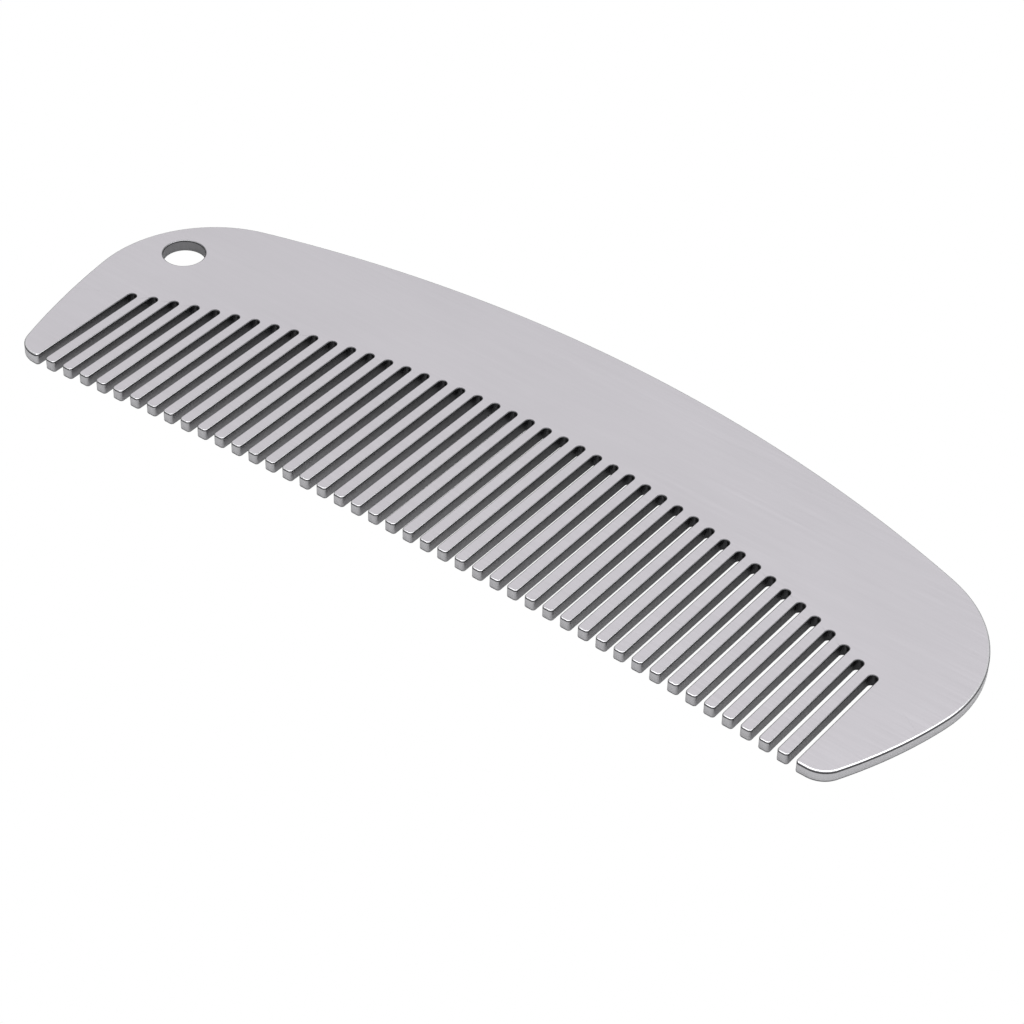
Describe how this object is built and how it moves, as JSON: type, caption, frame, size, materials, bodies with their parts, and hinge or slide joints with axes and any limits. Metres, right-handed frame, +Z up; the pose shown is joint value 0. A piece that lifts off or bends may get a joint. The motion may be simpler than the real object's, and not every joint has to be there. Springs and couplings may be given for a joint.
{
  "type": "beard comb",
  "caption": "Flat stainless steel pocket comb for a beard, with an arched back, fine parallel teeth between two broad end guards and a hanging hole in one end.",
  "frame": {"origin": "under the middle of the comb's outline, on the plane of the lower flat face, with the comb lying flat", "axes": "+X along the comb from the hanging hole towards the far end, +Y from the tooth tips towards the arched back, +Z up through the sheet"},
  "size_m": [0.1178, 0.0416, 0.0015],
  "materials": {
    "stainless_steel": "satin stainless steel, finely brushed along the comb, with tumbled edges"
  },
  "bodies": {
    "root": {"spine": "stainless_steel", "guard_hole_end": "stainless_steel", "guard_far_end": "stainless_steel", "tooth_01": "stainless_steel", "tooth_02": "stainless_steel", "tooth_03": "stainless_steel", "tooth_04": "stainless_steel", "tooth_05": "stainless_steel", "tooth_06": "stainless_steel", "tooth_07": "stainless_steel", "tooth_08": "stainless_steel", "tooth_09": "stainless_steel", "tooth_10": "stainless_steel", "tooth_11": "stainless_steel", "tooth_12": "stainless_steel", "tooth_13": "stainless_steel", "tooth_14": "stainless_steel", "tooth_15": "stainless_steel", "tooth_16": "stainless_steel", "tooth_17": "stainless_steel", "tooth_18": "stainless_steel", "tooth_19": "stainless_steel", "tooth_20": "stainless_steel", "tooth_21": "stainless_steel", "tooth_22": "stainless_steel", "tooth_23": "stainless_steel", "tooth_24": "stainless_steel", "tooth_25": "stainless_steel", "tooth_26": "stainless_steel", "tooth_27": "stainless_steel", "tooth_28": "stainless_steel", "tooth_29": "stainless_steel", "tooth_30": "stainless_steel", "tooth_31": "stainless_steel", "tooth_32": "stainless_steel", "tooth_33": "stainless_steel", "tooth_34": "stainless_steel", "tooth_35": "stainless_steel", "tooth_36": "stainless_steel", "tooth_37": "stainless_steel", "tooth_38": "stainless_steel", "tooth_39": "stainless_steel", "tooth_40": "stainless_steel", "tooth_41": "stainless_steel", "tooth_42": "stainless_steel", "tooth_43": "stainless_steel"}
  },
  "joints": []
}
